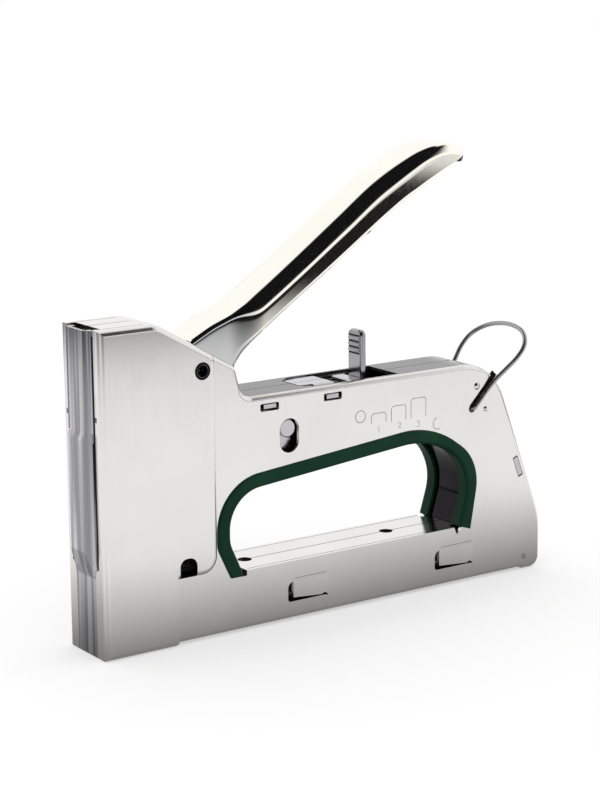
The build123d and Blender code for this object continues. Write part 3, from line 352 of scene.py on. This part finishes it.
def add_handle():
    """Pressed channel with a round tip, open below, from sections along its length."""
    steps = [underside[0][0] + 1.2 * k for k in range(94)]
    steps += [grip_reach - tip_round * (1 - math.sin(math.radians(turn)))
              for turn in (4, 12, 20, 28, 36, 44, 52, 60, 67, 74, 81, 90)]
    bm = bmesh.new()
    rows = [[bm.verts.new(p) for p in handle_station(dx)] for dx in sorted(steps)]
    for row, following in zip(rows, rows[1:]):
        for a, b, c, d in zip(row, row[1:], following[1:], following):
            bm.faces.new((a, d, c, b))
    bmesh.ops.recalc_face_normals(bm, faces=bm.faces)
    middle = rows[20][len(rows[20]) // 2]
    if middle.normal.z < 0:
        bmesh.ops.reverse_faces(bm, faces=bm.faces)
    for face in bm.faces:
        face.smooth = True
    mesh = bpy.data.meshes.new("handle_skin")
    bm.to_mesh(mesh)
    skin = mesh_object("handle_skin", mesh, materials["chrome_handle"], "handle")
    wall = skin.modifiers.new("wall", "SOLIDIFY")
    wall.thickness = lever_sheet * MM
    wall.offset = -1
    # the sheet edges of the handle take the painted shade
    mesh.materials.append(rim_painted_shade)
    wall.material_offset_rim = 1
    return skin


def add_ears():
    """The two sides of the handle round its pivot and its lift roller."""
    low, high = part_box("lift_roller")
    roller = (low + high) / 2 / MM
    rx, rz = roller[0] - pivot[0], roller[2] - pivot[1]
    front = underside[0][0]
    outline = [(front, smooth_line(ridge, front) - 2), (-5.2, 4.0), (-6.6, -2.5), (-7.7, -8.8),
               (rx - 4.2, rz + 2.6), (rx - 4.7, rz - 0.6), (rx - 4.2, rz - 2.8), (rx - 2.6, rz - 4.4),
               (rx + 2.4, rz - 4.3), (rx + 4.2, rz - 2.2), (rx + 4.9, rz + 1.2), (5.7, -8.2), (9.0, -7.4),
               (12.1, -5.6), (15.2, -0.6), (18.4, 4.0), (22.0, 7.6), (20.0, 17.0), (7.3, 12.4)]
    for hand, word in ((1, "right"), (-1, "left")):
        bm = bmesh.new()
        outer = hand * (shank_half - 0.03)
        face = bm.faces.new([bm.verts.new(((pivot[0] + x) * MM, outer * MM, (pivot[1] + z) * MM))
                             for x, z in outline])
        grown = bmesh.ops.extrude_face_region(bm, geom=[face])["geom"]
        inward = Vector((0, -hand * lever_sheet * MM, 0))
        bmesh.ops.translate(bm, verts=[v for v in grown if isinstance(v, bmesh.types.BMVert)], vec=inward)
        bmesh.ops.recalc_face_normals(bm, faces=bm.faces)
        mesh = bpy.data.meshes.new("handle_ear_" + word)
        bm.to_mesh(mesh)
        ear = mesh_object("handle_ear_" + word, mesh, materials["chrome_handle"],
                          "handle")
        soft = ear.modifiers.new("edge", "BEVEL")
        soft.width = 0.25 * MM
        soft.segments = 2


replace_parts(add_handle(), "handle")
add_ears()


# ---- fine detail, painted shade and a painted highlight on the shells -----------------------------
def add_boxes(name, boxes, material, body="body"):
    """One piece made of thin boxes, each from its lowest to its highest corner in millimetres."""
    bm = bmesh.new()
    for low, high in boxes:
        size = [h - l for l, h in zip(low, high)]
        middle = [(l + h) / 2 for l, h in zip(low, high)]
        place = Matrix.Translation(Vector(middle) * MM)
        bmesh.ops.create_cube(bm, size=MM, matrix=place @ Matrix.Diagonal((*size, 1)))
    mesh = bpy.data.meshes.new(name)
    bm.to_mesh(mesh)
    return mesh_object(name, mesh, material, body)


def add_lines(name, lines, y, radius):
    """One piece made of thin strokes in the side view, each a list of (x, z) in millimetres."""
    curve = bpy.data.curves.new(name, "CURVE")
    curve.dimensions = "3D"
    curve.bevel_depth = radius * MM
    curve.bevel_resolution = 2
    for points in lines:
        spline = curve.splines.new("POLY")
        spline.points.add(len(points) - 1)
        for point, (x, z) in zip(spline.points, points):
            point.co = (x * MM, y * MM, z * MM, 1)
    return mesh_object(name, curve, mark_dark, "body")


def ring(x, z, radius, start=0, end=360):
    """Stroke along a circle or a part of it."""
    return [(x + radius * math.cos(math.radians(a)), z + radius * math.sin(math.radians(a)))
            for a in range(start, end + 1, 15)]


def staple(x0, x1, z0, z1, bend=1.0):
    """Stroke of a staple: two legs and a crown."""
    corner = [(bend * (1 - math.cos(turn)), bend * (1 - math.sin(turn)))
              for turn in (0, math.pi / 4, math.pi / 2)]
    left = [(x0 + dx, z1 - dz) for dx, dz in corner]
    right = [(x1 - dx, z1 - dz) for dx, dz in reversed(corner)]
    return [(x0, z0)] + left + right + [(x1, z0)]


def seam(x0, x1, y0, y1, top, proud=0.02):
    """Box of a dark line of painted shade along an upper face of the body."""
    return (x0, y0, top - 0.1), (x1, y1, top + proud)


def upright(y, half, low, high, proud):
    """Box of a dark line of painted shade down the front face of the nose, which stands at x = 0."""
    return (-proud, y - half, low), (0.3, y + half, high)


side_y, nose_y = -11.5, -12.5           # left faces of the body and of the nose
roof, deck, bar = 110.0, 81.3, 21.5     # heights of the upper faces
mark_round = 2.15                       # radius of the round marks and of the pivot pin's edge
hands = (-1, 1)                         # left and right

add_lines("staple_marks", [
    ring(103.9, 68.6, mark_round), staple(108.7, 115.1, 65.4, 68.9), staple(117.5, 123.9, 65.0, 70.5),
    staple(126.2, 132.9, 65.0, 72.1), ring(138.4, 61.6, mark_round, 100, 300)],
    side_y + 0.06, 0.13)
digits = [
    [(111.3, 63.4), (112.0, 63.8), (112.0, 61.8)],
    [(120.5, 63.9), (120.9, 64.3), (121.5, 64.2), (121.7, 63.7), (121.3, 63.1), (120.5, 62.3), (121.8, 62.3)],
    [(128.9, 63.5), (129.4, 63.8), (130.0, 63.6), (130.0, 63.1), (129.5, 62.8), (130.1, 62.5), (130.1, 62.0),
     (129.5, 61.6), (128.8, 61.9)]]
add_lines("staple_numbers", digits, side_y + 0.05, 0.11)
# grey ring on the edge of the pivot pin: a painted highlight
add_lines("pin_ring_highlight", [ring(pivot[0], pivot[1], mark_round)], nose_y + 0.02, 0.12)
# dark strips along the seams of the body: painted shade in the gaps
add_boxes("roof_seam_shade", [seam(1.6, 18.6, -0.13, 0.13, roof), seam(1.6, 18.6, -8.7, -8.52, roof),
                         seam(1.6, 18.6, 8.52, 8.7, roof)], painted_gap_shade)
add_boxes("deck_seam_shade", [seam(57.5, 81.5, -0.12, 0.12, deck), seam(123.0, 152.5, -0.12, 0.12, deck)],
          painted_gap_shade)
add_boxes("bar_seam_shade", [seam(57.0, 60.2, -0.16, 0.16, bar), seam(64.8, 121.4, -0.16, 0.16, bar),
                        seam(126.2, 149.0, -0.16, 0.16, bar), seam(57.0, 146.0, -10.0, -9.66, bar, 0.0),
                        seam(57.0, 146.0, 9.66, 10.0, bar, 0.0)], painted_gap_shade)
# dark strips in the gaps between the front plate and the shells: painted shade
add_boxes("nose_gap_shade", [upright(hand * 8.2, 0.42, 30.5, 108.0, 0.06) for hand in hands]
          + [upright(hand * 6.15, 0.25, 76.5, 108.0, 0.04) for hand in hands], painted_gap_shade)
# dark strips in the grooves beside the rib: painted shade, fading out below
add_boxes("rib_groove_shade", [upright(hand * 6.6, 1.0, 40.0, 72.8, 0.04) for hand in hands],
          groove_painted_shade())

lever_face = 109.7                      # front face of the finger lever
lever_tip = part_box("power_adjuster")[1][2] / MM
levels = [lever_tip - drop for drop in (2.05, 4.15, 6.25, 8.35)]
# dark strips across the finger lever: painted shade in its grooves
add_boxes("lever_groove_shade", [((lever_face - 0.06, -3.1, level - 0.3), (lever_face + 0.1, 3.1, level + 0.3))
                            for level in levels], painted_gap_shade, "adjuster")
lances = [(72.7, 89.9), (137.4, 155.4)]     # reach of the two pressed stops of each shell
# dark strokes along the lower edges of the lances: painted shade
add_lines("lance_fold_shade", [[(x0 + 3.0, 15.1), (x1 - 1.0, 15.2)] for x0, x1 in lances],
          side_y + 0.05, 0.10)


def add_slot_shade():
    """Dark inside of the slanting slot that the bail swings in, on each side."""
    bm = bmesh.new()
    x, z = 160.0, 71.0
    depth = 10.32
    slant = Matrix.Rotation(math.radians(-46.5), 4, "Y")
    size = Matrix.Diagonal((16.0, 0.08, 2.8, 1))
    for hand in hands:
        place = Matrix.Translation(Vector((x, hand * depth, z)) * MM)
        bmesh.ops.create_cube(bm, size=MM, matrix=place @ slant @ size)
    mesh = bpy.data.meshes.new("slot_shade")
    bm.to_mesh(mesh)
    return mesh_object("slot_shade", mesh, painted_gap_shade, "body")


add_slot_shade()


# ---- floor and world ----------------------------------------------------------------------------
def add_floor():
    """White floor with a soft shadow; metal shows it with a painted shadow under the tool, and dark far away.
    """
    bpy.ops.mesh.primitive_plane_add(size=8, location=(0, 0, -0.0002))
    floor = bpy.context.object
    floor.name = "floor"
    m = Nodes("floor")
    floor.data.materials.append(m.material)
    x, y, _ = m.axes()
    away = m.math("MAXIMUM", m.math("SUBTRACT", m.math("ABSOLUTE", y), 0.012),
                  m.math("SUBTRACT", m.math("ABSOLUTE", m.math("SUBTRACT", x, 0.095)), 0.095))
    # painted shadow: for glossy rays the floor is darker close to the tool
    painted_contact_shadow = m.span(away, 0.0, 0.10, 0.24, 1.0)
    far = m.math("MAXIMUM", m.span(away, 0.40, 0.64, 1.0, 0.012, smooth=True),
                 m.span(x, 0.96, 1.16, 0.0, 0.75, smooth=True))
    rays = m.add("ShaderNodeLightPath").outputs
    mirrored = m.add("ShaderNodeEmission", {"Color": (1, 1, 1, 1), "Strength": m.math("MULTIPLY", painted_contact_shadow, far)})
    lit = m.add("ShaderNodeBsdfDiffuse", {"Color": (0.58, 0.58, 0.58, 1)})
    lift = m.add("ShaderNodeEmission", {"Strength": m.math("MULTIPLY", rays["Is Camera Ray"], 0.46)})
    seen = m.add("ShaderNodeAddShader", {0: lit.outputs[0], 1: lift.outputs[0]})
    both = m.add("ShaderNodeMixShader", {0: rays["Is Glossy Ray"], 1: seen.outputs[0],
                                         2: mirrored.outputs[0]})
    m.tree.links.new(both.outputs[0], m.tree.nodes["Material Output"].inputs["Surface"])


def add_world():
    """White surroundings; metal shows a dark ceiling in them, narrower towards the rear."""
    world = bpy.data.worlds.new("world")
    bpy.context.scene.world = world
    w = Nodes("world", world)
    x, y, z = w.axes(w.tree.nodes["Texture Coordinate"].outputs["Generated"])
    turn = w.math("ARCTAN2", z, y)      # 0 on the tool's right, 90 degrees overhead, 180 on its left

    def band(*edges):
        """1 between the middle two of four turns in degrees, fading to 0 at the outer two."""
        rise, start, end, fall = (math.radians(edge) for edge in edges)
        return w.math("MULTIPLY", w.span(turn, rise, start, 0.0, 1.0, smooth=True),
                      w.span(turn, end, fall, 1.0, 0.0, smooth=True))

    wide = band(46, 54, 171, 174)
    narrow = w.math("MULTIPLY", band(88, 118, 168, 174), w.span(x, 0.50, 0.64, 1.0, 0.0, smooth=True))
    rearward = w.span(x, 0.36, 0.44, 0.0, 1.0, smooth=True)
    dark = w.math("ADD", w.math("MULTIPLY", wide, w.math("SUBTRACT", 1.0, rearward)),
                  w.math("MULTIPLY", narrow, rearward))
    share = w.math("MULTIPLY", dark, w.add("ShaderNodeLightPath").outputs["Is Glossy Ray"])
    colour = w.blend(share, (1, 1, 1, 1), (0.006, 0.006, 0.007, 1))
    background = w.tree.nodes["Background"]
    w.tree.links.new(colour, background.inputs["Color"])
    background.inputs["Strength"].default_value = 1.0


add_floor()
add_world()
bpy.context.scene.view_settings.view_transform = "Standard"
